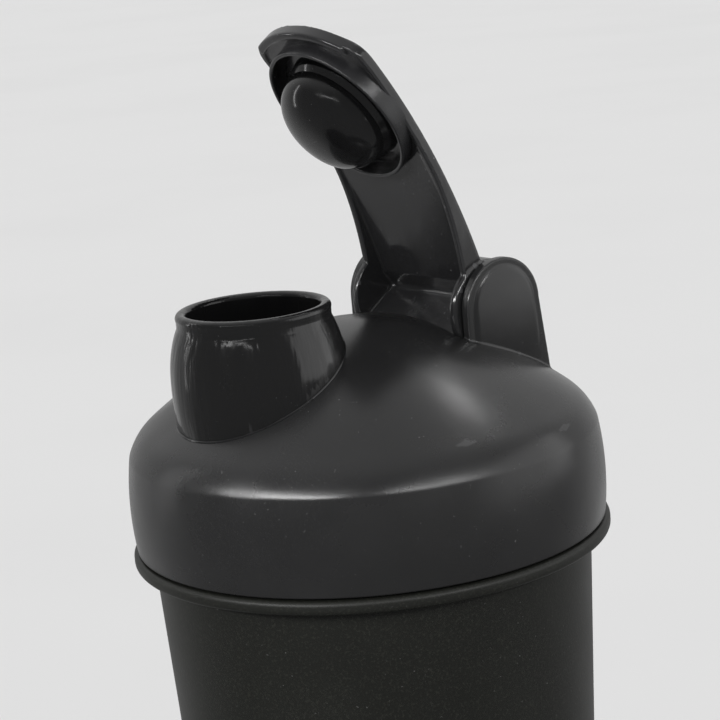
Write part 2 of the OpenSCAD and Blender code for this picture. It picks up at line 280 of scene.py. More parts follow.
def net(name, field, low, high, cell):
    """The closed surface where field(x, y, z) is zero, as a quad net drawn onto it."""
    axes = [np.arange(a - cell, b + 2 * cell, cell) for a, b in zip(low, high)]
    grid = np.meshgrid(*axes, indexing="ij")
    value = field(*grid)
    shape = tuple(n - 1 for n in value.shape)
    total = np.zeros(shape + (3,))
    hits = np.zeros(shape)
    edges = []
    for axis in range(3):
        lower = tuple(slice(0, -1) if a == axis else slice(None) for a in range(3))
        upper = tuple(slice(1, None) if a == axis else slice(None) for a in range(3))
        f0, f1 = value[lower], value[upper]
        crossing = (f0 < 0) != (f1 < 0)
        where = np.argwhere(crossing)
        share = f0[crossing] / (f0[crossing] - f1[crossing])
        point = np.stack([axes[a][where[:, a]] for a in range(3)], 1)
        point[:, axis] += share * cell
        others = [a for a in range(3) if a != axis]
        around = []
        for da, db in ((0, 0), (1, 0), (1, 1), (0, 1)):
            at = where.copy()
            at[:, others[0]] -= da
            at[:, others[1]] -= db
            around.append(at)
            inside = ((at >= 0) & (at < shape)).all(1)
            key = tuple(at[inside].T)
            np.add.at(total, key, point[inside])
            np.add.at(hits, key, 1)
        edges.append((axis, f0[crossing] < 0, around))
    live = hits > 0
    number = np.full(shape, -1)
    number[live] = np.arange(live.sum())
    points = total[live] / hits[live][:, None]
    faces = []
    for axis, outward, around in edges:
        quad = np.stack([number[tuple(at.T)] for at in around], 1)
        flip = outward if axis == 1 else ~outward
        quad[flip] = quad[flip][:, ::-1]
        faces.append(quad)
    points = draw_on(field, points, cell)
    obj = make_object(name, points, np.concatenate(faces), None)
    set_normals(obj, field, points)
    return obj


def slope(field, points, step=0.02):
    """The field's gradient at each point."""
    parts = []
    for axis in range(3):
        shift = np.zeros(3)
        shift[axis] = step
        parts.append((field(*(points + shift).T) - field(*(points - shift).T)) / (2 * step))
    return np.stack(parts, 1)


def draw_on(field, points, cell):
    """Moves points along the gradient until they lie on the surface."""
    for _ in range(4):
        g = slope(field, points)
        size = np.maximum((g * g).sum(1), 1e-6)
        move = -(field(*points.T) / size)[:, None] * g
        length = np.linalg.norm(move, axis=1)[:, None]
        points = points + move * np.minimum(1, 0.4 * cell / np.maximum(length, 1e-9))
    return points


def set_normals(obj, field, points):
    """Takes the shading normals from the field's gradient."""
    g = slope(field, points)
    g /= np.maximum(np.linalg.norm(g, axis=1)[:, None], 1e-9)
    obj.data.normals_split_custom_set_from_vertices(g.tolist())


def cut(obj, tool, operation="DIFFERENCE"):
    """Applies an exact boolean of obj with tool, and removes tool."""
    modifier = obj.modifiers.new("cut", "BOOLEAN")
    modifier.operation = operation
    modifier.solver = "EXACT"
    modifier.object = tool
    graph = bpy.context.evaluated_depsgraph_get()
    mesh = bpy.data.meshes.new_from_object(obj.evaluated_get(graph))
    obj.modifiers.clear()
    obj.data = mesh
    bpy.data.objects.remove(tool)
    shade(obj, CUT_SHARP_ANGLE)
    return obj


def tube(name, centres, r):
    """A closed loop of round bar along a line of centres."""
    sides = 10
    along = np.roll(centres, -1, axis=0) - np.roll(centres, 1, axis=0)
    along /= np.linalg.norm(along, axis=1)[:, None]
    out = np.cross(along, (0.0, 0.0, 1.0))
    out /= np.linalg.norm(out, axis=1)[:, None]
    up = np.cross(out, along)
    turn = np.linspace(0, 2 * np.pi, sides, endpoint=False)[None, :, None]
    points = centres[:, None] + r * (np.cos(turn) * out[:, None] + np.sin(turn) * up[:, None])
    count = len(centres)
    faces = []
    for i in range(count):
        here, after = i * sides, (i + 1) % count * sides
        for j in range(sides):
            k = (j + 1) % sides
            faces.append([here + j, after + j, after + k, here + k])
    return make_object(name, points.reshape(-1, 3), faces, 60)


def along_x(name, r, x0, x1, y, z, segments=128):
    """A closed cylinder along x, for cutting."""
    turn = np.linspace(0, 2 * np.pi, segments, endpoint=False)
    ring = [(y + r * math.cos(a), z + r * math.sin(a)) for a in turn]
    points = [(x, p, q) for x in (x0, x1) for p, q in ring]
    faces = [[k, (k + 1) % segments, segments + (k + 1) % segments, segments + k]
             for k in range(segments)]
    faces.append(list(range(segments))[::-1])
    faces.append(list(range(segments, 2 * segments)))
    return make_object(name, points, faces)


def raise_to_lid(obj):
    """Moves a piece from the lid's own heights to its place on the bottle."""
    obj.data.transform(Matrix.Translation((0, 0, LID_Z * MM)))


# ---- shapes shared by several pieces ------------------------------------------------

def skirt_r(z):
    """Radius of the lid's slightly barrelled skirt."""
    return LID_R + SKIRT_SWELL * (1 - ((z - SWELL_Z) / SWELL_Z) ** 2)


def dome_at(r):
    """Height of the dome's outer surface at a radius."""
    return SHOULDER_Z + DOME_RISE * (1 - (r / SHOULDER_R) ** DOME_POWER)


def lid_top_at(r):
    """Height of the lid's outer surface, dome or bevel, at a radius."""
    return dome_at(r) if r < SHOULDER_R else SHOULDER_Z - BEVEL_SLOPE * (r - SHOULDER_R)


def spout_wall_r(drop):
    """Radius of the spout's outside at a drop below its rim."""
    if drop < BELLY_DROP:
        rise = (BELLY_DROP - drop) / (BELLY_DROP - BEAD_H)
        return BELLY_R - (BELLY_R - SPOUT_R) * rise ** BELLY_POWER
    return BELLY_R - BELLY_TUCK * ((drop - BELLY_DROP) / TUCK_DROP) ** 2


def ridge(turn, z, start, depth):
    """Height of a helical thread ridge at an angle and height, with faded ends."""
    height = np.zeros(np.broadcast(turn, z).shape)
    fade = 9
    for lap in range(math.ceil(THREAD_TURNS)):
        along = turn / (2 * np.pi) + lap
        middle = start + THREAD_LEAD * along
        across = np.clip((THREAD_HALF_W - np.abs(z - middle)) / THREAD_FLANK, 0, 1)
        ends = np.clip(np.minimum(along, THREAD_TURNS - along) * fade, 0, 1)
        height = np.maximum(height, depth * across * ends)
    return height


# ---- cup ----------------------------------------------------------------------------

def build_cup():
    under = FLANGE_TOP - FLANGE_T
    floor_z = FOOT_LIFT + FLOOR_T
    inner_r = FOOT_R + (CUP_TOP_R - FOOT_R) * 10 / under - CUP_WALL
    root = 0.6
    outside = (
        [(0, FOOT_LIFT), (FOOT_R - 7.6, FOOT_LIFT)]
        + arc(FOOT_R - 6.6, FOOT_LIFT - 0.9, 0.9, 90, 40, 4)
        + arc(FOOT_R - 4.6, 0.8, 0.8, 200, 270, 4)
        + arc(FOOT_R - FOOT_ROUND, FOOT_ROUND, FOOT_ROUND, -90, -3, 10)
        + line((FOOT_R, FOOT_ROUND + 0.2), (CUP_TOP_R, under - root), 60)
        + arc(CUP_TOP_R + root, under - root, root, 180, 90, 4)
        + arc(FLANGE_R - FLANGE_ROUND, under + FLANGE_ROUND, FLANGE_ROUND, -90, 0, 6)
        + arc(FLANGE_R - FLANGE_ROUND, FLANGE_TOP - FLANGE_ROUND, FLANGE_ROUND, 0, 90, 6)
        + arc(NECK_R + 0.4, FLANGE_TOP + 0.4, 0.4, 270, 180, 3)
        + line((NECK_R, FLANGE_TOP + 0.6), (NECK_R, CUP_TOP - NECK_ROUND - 0.1), 56)
        + arc(NECK_R - NECK_ROUND, CUP_TOP - NECK_ROUND, NECK_ROUND, 0, 90, 5)
    )
    inside = (
        arc(NECK_IN_R + NECK_ROUND, CUP_TOP - NECK_ROUND, NECK_ROUND, 90, 180, 5)
        + [(NECK_IN_R, FLANGE_TOP), (CUP_TOP_R - CUP_WALL, under - 2)]
        + arc(inner_r - FLOOR_ROUND, floor_z + FLOOR_ROUND, FLOOR_ROUND, -2, -90, 10)
        + [(0, floor_z)]
    )

    def thread(turn, r, z):
        on_neck = (r > NECK_R - 0.01) & (r < NECK_R + 0.01) & (z > FLANGE_TOP)
        return np.where(on_neck, ridge(turn, z - LID_Z, THREAD_Z, THREAD_DEPTH), 0)

    return revolve("cup_shell", outside + inside, bump=thread)


# ---- lid ----------------------------------------------------------------------------

def bevel_profile():
    """From the top of the skirt over the crease and the bevel to the shoulder."""
    crease = np.array([skirt_r(CREASE_Z), CREASE_Z])
    top_r = SHOULDER_R - 0.6
    top = np.array([top_r, dome_at(top_r)])
    rounded = 0.18

    def bevel(share):
        return crease + (top - crease) * share + BEVEL_BULGE * math.sin(math.pi * share)

    low = np.array([skirt_r(CREASE_Z - CREASE_ROUND), CREASE_Z - CREASE_ROUND])
    high = bevel(rounded)
    round_edge = [tuple((1 - s) ** 2 * low + 2 * s * (1 - s) * crease + s * s * high)
                  for s in np.linspace(0, 1, 12)]
    return round_edge + [tuple(bevel(share)) for share in np.linspace(rounded, 1, 20)[1:]]


def lid_hollow():
    """The space under the lid, as a cutting tool; its wall dips in where the thread stands."""
    dome = [(r, dome_at(r) - DOME_T) for r in np.linspace(LIP_IN_R, 0, 40)]
    profile = (
        [(0, -1), (SKIRT_IN_R + 0.6, -1), (SKIRT_IN_R + 0.6, 0)]
        + line((SKIRT_IN_R, 0.6), (SKIRT_IN_R, SEAT_Z - 0.2), 60)
        + [(SKIRT_IN_R, SEAT_Z), (LIP_R, SEAT_Z)]
        + arc(LIP_R - LIP_ROUND, LIP_Z + LIP_ROUND, LIP_ROUND, 0, -90, 4)
        + arc(LIP_IN_R + LIP_ROUND, LIP_Z + LIP_ROUND, LIP_ROUND, -90, -180, 4)
        + dome
    )

    def thread(turn, r, z):
        on_skirt = (np.abs(r - SKIRT_IN_R) < 0.01) & (z < SEAT_Z - 0.1)
        return -np.where(on_skirt, ridge(turn, z, THREAD_Z - THREAD_OFFSET, THREAD_DEPTH), 0)

    hollow = revolve("hollow", profile, bump=thread)
    block = along_x("block", WELL_R + WELL_WALL, -EAR_IN_X - WELL_WALL, EAR_IN_X + WELL_WALL,
                    HINGE_Y, HINGE_Z)
    return cut(hollow, block)


def spout_bore():
    """The way through the lid under the spout, as a cutting tool."""
    low = SHOULDER_Z - 2
    profile = [(0, low), (SPOUT_BORE_R + BORE_FLARE, low), (SPOUT_BORE_R, RIM_Z - LAND_H),
               (SPOUT_BORE_R, RIM_Z + 1), (0, RIM_Z + 1)]
    return revolve("bore", profile, centre=(0, SPOUT_Y))


def build_lid_shell():
    skirt = [(skirt_r(z), z) for z in np.linspace(LID_EDGE + 0.1, CREASE_Z - 0.8, 30)]
    dome = [(r, dome_at(r)) for r in np.linspace(SHOULDER_R - 1.4, 0, 46)]
    foot = [(0, 0)] + arc(skirt_r(LID_EDGE) - LID_EDGE, LID_EDGE, LID_EDGE, -90, -8, 8)
    shell = revolve("lid_shell", foot + skirt + bevel_profile() + dome)
    cut(shell, lid_hollow())
    cut(shell, along_x("well", WELL_R, -EAR_IN_X, EAR_IN_X, HINGE_Y, HINGE_Z, 192))
    cut(shell, spout_bore())
    raise_to_lid(shell)
    return shell


def foot_bead():
    """A thin bead along the line where the spout stands on the dome."""
    centres = []
    for turn in np.linspace(0, 2 * np.pi, 240, endpoint=False):
        low, high = 0.0, RIM_Z - SHOULDER_Z
        for _ in range(30):
            drop = (low + high) / 2
            r = spout_wall_r(drop)
            x, y = r * math.cos(turn), SPOUT_Y + r * math.sin(turn)
            above = RIM_Z - drop > lid_top_at(math.hypot(x, y))
            low, high = (drop, high) if above else (low, drop)
        centres.append((x, y, RIM_Z - drop))
    return tube("foot_bead", np.array(centres), FOOT_BEAD_R)


def build_spout():
    low = SHOULDER_Z - 1
    lip_z = RIM_Z - SPOUT_LIP
    drops = np.concatenate([np.linspace(BEAD_H, BELLY_DROP, 24), [18, 21, RIM_Z - low]])
    wall = [(spout_wall_r(drop), RIM_Z - drop) for drop in drops]
    bead = (
        arc(SPOUT_BORE_R + SPOUT_LIP, lip_z, SPOUT_LIP, 180, 90, 10)
        + arc(SPOUT_R + 0.1 - SPOUT_LIP, lip_z, SPOUT_LIP, 90, -20, 12)
        + [(SPOUT_R, RIM_Z - 1.75), (SPOUT_R - 0.01, RIM_Z - 2.3)]
    )
    land = (SPOUT_BORE_R, RIM_Z - LAND_H)
    bore = line((SPOUT_BORE_R + BORE_FLARE, low), land, 10)
    bore += line(land, (SPOUT_BORE_R, lip_z - 0.1), 6)
    spout = revolve("lid_spout", bore + bead + wall, centre=(0, SPOUT_Y), closed=True)
    cut(spout, lid_hollow())
    cut(spout, foot_bead(), "UNION")
    raise_to_lid(spout)
    return spout


def ear_arch(y, z, inset):
    """Distance outside the arched outline of an ear, drawn in by an inset."""
    above = np.hypot(y - EAR_Y, z - EAR_Z) - EAR_R
    front = EAR_Y - EAR_R - y
    back = (y - EAR_Y - EAR_R - EAR_SLOPE * (EAR_Z - z)) / math.hypot(1, EAR_SLOPE)
    return np.where(z > EAR_Z, above, np.maximum(front, back)) + inset


def dome_field(x, y, z):
    """Distance above the dome."""
    r = np.hypot(x, y)
    steep = DOME_RISE * DOME_POWER / SHOULDER_R * (r / SHOULDER_R) ** (DOME_POWER - 1)
    return (z - dome_at(r)) / np.sqrt(1 + steep ** 2)


def build_ear(side):
    """One hinge ear with a pillowed face, and a small fillet where it stands on the dome.
    side is 1 for the right ear and -1 for the left."""
    fillet = 0.5
    pillow = 0.9
    pad_inset, pad_round = 0.8, 1.9
    step_x = EAR_OUT_X - 1.0
    centre_z = EAR_Z - 4

    def field(x, y, z):
        x = side * x
        swell = ((y - EAR_Y) ** 2 + 0.5 * (z - centre_z) ** 2) / EAR_R ** 2
        face_x = EAR_OUT_X - pillow * np.minimum(swell, 1.5)
        base = smooth_max(ear_arch(y, z, 0), x - step_x, 0.45)
        pad = smooth_max(ear_arch(y, z, pad_inset), x - face_x, pad_round)
        ear = smooth_min(base, pad, 0.15)
        dome = dome_field(x, y, z) + 0.015
        whole = smooth_min(ear, dome, fillet)
        near = np.maximum(ear - fillet, -dome - 1.2)
        solid = np.maximum(whole, near)
        solid = smooth_max(solid, EAR_IN_X - x, 0.35)
        socket = np.hypot(y - HINGE_Y, z - HINGE_Z) - PIN_R - PIN_GAP
        return np.maximum(solid, -np.maximum(socket, x - SOCKET_X))

    x_ends = sorted((side * EAR_IN_X, side * (EAR_OUT_X + 2.5)))
    low = (x_ends[0], EAR_Y - EAR_R - 2.5, SHOULDER_Z)
    high = (x_ends[1], EAR_Y + EAR_R + 5, EAR_Z + EAR_R + 0.5)
    ear = net("hinge_ear_" + ("right" if side > 0 else "left"), field, low, high, EAR_CELL)
    raise_to_lid(ear)
    return ear


# ---- flip cap -----------------------------------------------------------------------

def arm_top(y):
    """Height of the closed cap's top, flat over the spout and curved down to the hinge."""
    share = (y - ARM_FLAT_Y) / (BARREL_FRONT_Y - ARM_FLAT_Y)
    return CAP_Z - (CAP_Z - ARM_ROOT_Z) * share ** 2


def arm_rim(y):
    """Depth of the cap's side walls below its top."""
    share = np.clip((y - ARM_DEEP_Y) / (BARREL_FRONT_Y - ARM_DEEP_Y), 0, 2)
    return RIM_DEPTH + (ARM_DEPTH - RIM_DEPTH) * share ** 1.6


def cap_plan(x, y):
    """Distance outside the closed cap's plan: straight sides and a bowed front."""
    front = np.where(y < HEAD_Y, np.hypot(x, y - HEAD_Y) - HEAD_R, -HEAD_R)
    return smooth_max(np.abs(x) - CAP_HALF_W, front, 2.4)


def cap_outside(x, y, z, plan, drum_r):
    """The cap's arm and barrel before they are hollowed."""
    steep = -2 * (CAP_Z - ARM_ROOT_Z) * (y - ARM_FLAT_Y) / (BARREL_FRONT_Y - ARM_FLAT_Y) ** 2
    tilt = 1 / np.sqrt(1 + steep ** 2)
    depth = (arm_top(y) - z) * tilt
    arm = smooth_max(smooth_max(plan, -depth, 0.9), depth - arm_rim(y) * tilt, 0.5)
    arm = np.maximum(arm, y - BARREL_FRONT_Y - 3)
    drum = smooth_max(drum_r - BARREL_R, np.abs(x) - BARREL_HALF_W, 1.1)
    return smooth_min(arm, drum, 0.5)


def cap_tray(y, z, plan):
    """The hollow under the plate, between the side walls."""
    tray = smooth_max(plan + RIM_T, z - np.maximum(arm_top(y) - PLATE_T, WEB_TOP_Z), 0.8)
    return smooth_max(tray, y - WEB_Y, 1.2)


def barrel_space(x, y, z, drum_r):
    """The hollow in the barrel, behind and over the web. The barrel's wall is left open from
    straight below to BARREL_OPEN_TO degrees above level at the back."""
    around = np.arctan2(z - HINGE_Z, y - HINGE_Y)
    middle = math.radians(BARREL_OPEN_TO - 90) / 2
    sector = (np.abs(around - middle) - math.radians(BARREL_OPEN_TO + 90) / 2) * drum_r
    front = np.maximum(y - WEB_Y - WEB_T, z - WEB_TOP_Z - WEB_T)
    space = np.maximum(np.minimum(drum_r - BARREL_R + BARREL_WALL, sector), -front)
    return np.maximum(space, np.abs(x) - CHEEK_IN_X)


def thumb_tab(x, y, z, plan):
    """The lip that hangs from the bowed front of the head."""
    head = np.hypot(x, y - HEAD_Y)
    lip = np.maximum(np.maximum(plan, HEAD_R - TAB_T - head), y - HEAD_Y)
    lip = smooth_max(smooth_max(lip, CAP_Z - TAB_DEPTH - z, 0.7), np.abs(x) - TAB_HALF_W, 0.5)
    return np.maximum(lip, z - CAP_Z + 1)


def hinge_pins(x, drum_r):
    """The two pins, from just inside the barrel's cheeks into the ears' sockets."""
    pin = smooth_max(drum_r - PIN_R, np.abs(x) - SOCKET_X + 0.3, 0.3)
    return np.maximum(pin, CHEEK_IN_X + 0.5 - np.abs(x))


def cap_field(x, y, z):
    """The flip cap's plate, walls, thumb tab, barrel and pins, closed."""
    plan = cap_plan(x, y)
    drum_r = np.hypot(y - HINGE_Y, z - HINGE_Z)
    shell = smooth_max(cap_outside(x, y, z, plan, drum_r), -cap_tray(y, z, plan), 0.5)
    shell = smooth_max(shell, -barrel_space(x, y, z, drum_r), 0.4)
    ring_space = np.maximum(np.hypot(x, y - SPOUT_Y) - RING_IN_R, z - RIM_Z - RING_SPACE)
    shell = np.maximum(shell, -ring_space)
    shell = np.minimum(shell, thumb_tab(x, y, z, plan))
    return np.minimum(shell, hinge_pins(x, drum_r))


def open_cap(obj):
    """Turns a closed flip cap piece open about the hinge, at its place on the bottle."""
    to_hinge = Matrix.Translation((0, -HINGE_Y * MM, -HINGE_Z * MM))
    turn = Matrix.Rotation(-OPEN_ANGLE, 4, "X")
    back = Matrix.Translation((0, HINGE_Y * MM, (HINGE_Z + LID_Z) * MM))
    normals = None
    if obj.data.has_custom_normals:
        normals = [turn.to_3x3() @ n.vector for n in obj.data.corner_normals]
    obj.data.transform(back @ turn @ to_hinge)
    if normals:
        obj.data.normals_split_custom_set(normals)


def build_cap_plate():
    low = (-SOCKET_X, HEAD_Y - HEAD_R, HINGE_Z - BARREL_R)
    high = (SOCKET_X, HINGE_Y + BARREL_R, CAP_Z)
    return net("cap_plate", cap_field, low, high, CAP_CELL)


def build_cap_ring():
    """The ring that closes round the spout's rim."""
    edge = 0.3
    root_r = RING_IN_R - 1.2
    space_z = RIM_Z + RING_SPACE
    profile = (
        [(RING_R, RING_ROOT_Z)]
        + line((RING_R, RING_ROOT_Z - 0.4), (RING_R, RING_Z + 0.35), 4)
        + arc(RING_R - edge, RING_Z + edge, edge, 0, -90, 4)
        + arc(RING_IN_R + edge, RING_Z + edge, edge, -90, -180, 4)
        + line((RING_IN_R, RING_Z + 0.4), (RING_IN_R, RING_ROOT_Z - 0.6), 6)
        + [(RING_IN_R - 0.4, space_z), (root_r, space_z), (root_r, RING_ROOT_Z)]
    )
    return revolve("cap_ring", profile, centre=(0, SPOUT_Y), closed=True)


def build_cap_plug():
    """The domed plug that closes the spout's bore."""
    land_z = RIM_Z - PLUG_LAND
    dome = [((PLUG_R - PLUG_STEP) * max(math.cos(a), 0) ** PLUG_FULLNESS,
             land_z - PLUG_STEP - PLUG_DEPTH * math.sin(a) ** PLUG_FULLNESS)
            for a in np.linspace(0, np.pi / 2, 48)]
    profile = (
        [(PLUG_R + 0.5, RIM_Z + 0.6), (PLUG_R + 0.1, RIM_Z + 0.25)]
        + line((PLUG_R, RIM_Z), (PLUG_R, land_z + 0.35), 5)
        + arc(PLUG_R - 0.35, land_z + 0.3, 0.35, 0, -50, 5)
        + dome
    )
    return revolve("cap_plug", profile, centre=(0, SPOUT_Y))


# ---- seal and whisk ball ------------------------------------------------------------

def build_seal():
    """The soft ring in the lid's seat, round the plug lip."""
    low, high = (v.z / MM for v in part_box("lid_seal"))
    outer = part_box("lid_seal")[1].x / MM
    inner = LIP_R + 0.3
    r = 0.45
    profile = (
        arc(inner + r, low + r, r, 180, 270, 5) + arc(outer - r, low + r, r, 270, 360, 5)
        + arc(outer - r, high - r, r, 0, 90, 5) + arc(inner + r, high - r, r, 90, 180, 5)
    )
    return revolve("seal_ring", profile, closed=True)


def build_whisk():
    """One wire with rounded ends, wound from pole to pole of a ball."""
    steps, sides = WIRE_TURNS * 90, 14

    def centre(share):
        tilt = POLE_ANGLE + (math.pi - 2 * POLE_ANGLE) * share
        turn = 2 * np.pi * WIRE_TURNS * share
        spot = [np.sin(tilt) * np.cos(turn), np.sin(tilt) * np.sin(turn), -np.cos(tilt)]
        return BALL_R * np.stack(spot, -1)

    share = np.linspace(0, 1, steps + 1)
    spine = centre(share)
    out = spine / np.linalg.norm(spine, axis=1)[:, None]
    along = centre(share + 1e-4) - centre(share - 1e-4)
    along /= np.linalg.norm(along, axis=1)[:, None]
    across = np.cross(along, out)
    turn = np.linspace(0, 2 * np.pi, sides, endpoint=False)[:, None]

    def ring(k, lean):
        """The wire's section at step k; lean is its angle on a rounded end."""
        middle = spine[k] + along[k] * WIRE_R * math.sin(lean)
        r = WIRE_R * math.cos(lean)
        return middle + r * (np.cos(turn) * out[k] + np.sin(turn) * across[k])

    leans = [math.radians(a) for a in (70, 45, 20)]
    rings = [ring(0, -lean) for lean in leans]
    rings += [ring(k, 0) for k in range(steps + 1)]
    rings += [ring(steps, lean) for lean in reversed(leans)]
    points = np.concatenate(rings) + [0, 0, BALL_Z]
    faces = []
    for here in range(0, (len(rings) - 1) * sides, sides):
        for j in range(sides):
            k = (j + 1) % sides
            faces.append([here + j, here + k, here + sides + k, here + sides + j])
    faces.append(list(range(sides))[::-1])
    faces.append(list(range(len(points) - sides, len(points))))
    return make_object("whisk_wire", points, faces, 60)


# ---- materials ----------------------------------------------------------------------

def add_ramp(tree, value, low, high, out_low, out_high):
    """A node that takes value smoothly from out_low at low to out_high at high."""
    made = tree.nodes.new("ShaderNodeMapRange")
    made.interpolation_type = "SMOOTHSTEP"
    for key, number in zip(("From Min", "From Max", "To Min", "To Max"),
                           (low, high, out_low, out_high)):
        made.inputs[key].default_value = number
    tree.links.new(value, made.inputs["Value"])
    return made.outputs[0]


class Recipe:
    """A node material that is put together one step at a time, in object coordinates."""

    def __init__(self, name, color, roughness, **sockets):
        self.material = bpy.data.materials.new(name)
        self.material.use_nodes = True
        self.tree = self.material.node_tree
        self.shader = self.tree.nodes["Principled BSDF"]
        self.shader.inputs["Base Color"].default_value = (*color, 1)
        self.shader.inputs["Roughness"].default_value = roughness
        for key, value in sockets.items():
            self.shader.inputs[key.replace("_", " ")].default_value = value
        self.place = self.node("ShaderNodeTexCoord").outputs["Object"]
        self.color = None
        self.rough = None
        self.bump = None

    def node(self, kind, **settings):
        made = self.tree.nodes.new(kind)
        for key, value in settings.items():
            setattr(made, key, value)
        return made

    def link(self, a, b):
        self.tree.links.new(a, b)

    def math(self, operation, a, b=0.0):
        """A math node on two numbers or sockets."""
        made = self.node("ShaderNodeMath", operation=operation)
        for socket, value in zip(made.inputs, (a, b)):
            if isinstance(value, (int, float)):
                socket.default_value = value
            else:
                self.link(value, socket)
        return made.outputs[0]

    def stretch(self, x, y, z):
        """The object's coordinates, scaled along each axis."""
        made = self.node("ShaderNodeMapping")
        made.inputs["Scale"].default_value = (x, y, z)
        self.link(self.place, made.inputs["Vector"])
        return made.outputs[0]

    def noise(self, scale, detail=3.0, roughness=0.55, place=None, distortion=0.0):
        """Noise from 0 to 1; scale is cells per metre."""
        made = self.node("ShaderNodeTexNoise")
        made.inputs["Scale"].default_value = scale
        made.inputs["Detail"].default_value = detail
        made.inputs["Roughness"].default_value = roughness
        made.inputs["Distortion"].default_value = distortion
        self.link(place or self.place, made.inputs["Vector"])
        return made.outputs["Fac"]

    def ramp(self, value, low, high, out_low=0.0, out_high=1.0):
        return add_ramp(self.tree, value, low, high, out_low, out_high)

    def tint(self, color, mask):
        """Mixes a colour over what is there, by a mask."""
        made = self.node("ShaderNodeMix", data_type="RGBA")
        below, above = made.inputs[6], made.inputs[7]
        below.default_value = self.shader.inputs["Base Color"].default_value
        above.default_value = (*color, 1)
        if self.color is not None:
            self.link(self.color, below)
        self.link(mask, made.inputs["Factor"])
        self.color = made.outputs[2]

    def roughen(self, amount, mask):
        """Adds amount times a mask to the roughness."""
        start = self.rough
        if start is None:
            start = self.shader.inputs["Roughness"].default_value
        self.rough = self.math("ADD", self.math("MULTIPLY", mask, amount), start)

    def emboss(self, height, value):
        """Adds relief of a height in metres."""
        made = self.node("ShaderNodeBump")
        made.inputs["Distance"].default_value = height
        made.inputs["Strength"].default_value = 1.0
        self.link(value, made.inputs["Height"])
        if self.bump is not None:
            self.link(self.bump, made.inputs["Normal"])
        self.bump = made.outputs[0]

    def edges(self):
        """A mask that is high on sharp outer edges."""
        point = self.node("ShaderNodeNewGeometry").outputs["Pointiness"]
        return self.ramp(point, 0.52, 0.58)

    def finish(self):
        """Links what was built up to the shader."""
        for output, key in ((self.color, "Base Color"), (self.rough, "Roughness"),
                            (self.bump, "Normal")):
            if output is not None:
                self.link(output, self.shader.inputs[key])
        return self.material


def add_dust(recipe, amount, color=(0.30, 0.30, 0.30)):
    """Fine pale specks."""
    specks = recipe.ramp(recipe.noise(1500, 2, 0.5), 0.705, 0.76, 0, amount)
    patches = recipe.ramp(recipe.noise(60, 2, 0.5), 0.42, 0.68)
    recipe.tint(color, recipe.math("MULTIPLY", specks, patches))


def add_scuffs(recipe, rough, color, amount):
    """Hairline scratches in two directions, rougher and a little paler than the rest."""
    for stretch in ((1, 14, 3), (16, 1, 5)):
        lines = recipe.noise(190, 2, 0.5, recipe.stretch(*stretch), 0.6)
        band = recipe.math("ABSOLUTE", recipe.math("SUBTRACT", lines, 0.5))
        hair = recipe.ramp(band, 0.004, 0.0)
        patch = recipe.ramp(recipe.noise(38, 2, 0.5), 0.52, 0.70)
        mask = recipe.math("MULTIPLY", hair, patch)
        recipe.roughen(rough, mask)
        recipe.tint(color, recipe.math("MULTIPLY", mask, amount))


def satin_plastic():
    """Fine-textured black polypropylene."""
    r = Recipe("satin_black", (0.0125, 0.0125, 0.0128), 0.18, IOR=1.49)
    r.tint((0.0185, 0.0185, 0.019), r.ramp(r.noise(22, 4), 0.35, 0.75, 0, 0.8))
    r.roughen(0.13, r.ramp(r.noise(34, 2, 0.5), 0.38, 0.66))
    r.roughen(0.05, r.noise(900, 2))
    add_scuffs(r, 0.12, (0.05, 0.05, 0.05), 0.35)
    r.tint((0.035, 0.035, 0.036), r.edges())
    add_dust(r, 0.22)
    r.emboss(0.000012, r.noise(5200, 3, 0.6))
    r.emboss(0.00012, r.noise(60, 2, 0.5))
    return r.finish()


def polished_plastic(name="polished_black", base=(0.018, 0.018, 0.0185), roughness=0.09,
                     streaks=0.00030):
    """Black plastic from a polished mould. streaks is the relief of its upright flow lines."""
    r = Recipe(name, base, roughness, IOR=1.5)
    streak = r.noise(240, 3, 0.6, r.stretch(1, 1, 0.08))
    r.roughen(0.12, r.ramp(streak, 0.45, 0.65))
    r.emboss(streaks, streak)
    r.tint((0.017, 0.017, 0.018), r.ramp(r.noise(30, 3), 0.4, 0.7, 0, 0.8))
    r.roughen(0.07, r.ramp(r.noise(55, 5, 0.65), 0.42, 0.72))
    add_scuffs(r, 0.14, (0.05, 0.05, 0.05), 0.3)
    r.tint((0.045, 0.045, 0.047), r.edges())
    add_dust(r, 0.5)
    r.emboss(0.00006, r.noise(70, 2, 0.5))
    return r.finish()


def striated_plastic():
    """Polished black with the fine turned lines that a mould leaves inside a ring. The lines
    follow the closed cap's height, so the coordinates are turned back about the hinge."""
    line_step = 0.00023
    r = Recipe("striated_black", (0.016, 0.016, 0.017), 0.20, IOR=1.5)
    r.roughen(0.08, r.noise(80, 4))
    add_dust(r, 0.4)
    hinge = Vector((0, HINGE_Y, HINGE_Z + LID_Z)) * MM
    spin = r.node("ShaderNodeMapping", vector_type="TEXTURE")
    spin.inputs["Location"].default_value = hinge
    spin.inputs["Rotation"].default_value = (-OPEN_ANGLE, 0, 0)
    r.link(r.place, spin.inputs["Vector"])
    height = r.node("ShaderNodeSeparateXYZ")
    r.link(spin.outputs[0], height.inputs[0])
    lines = r.math("SINE", r.math("MULTIPLY", height.outputs["Z"], 2 * math.pi / line_step))
    r.emboss(0.000006, lines)
    return r.finish()


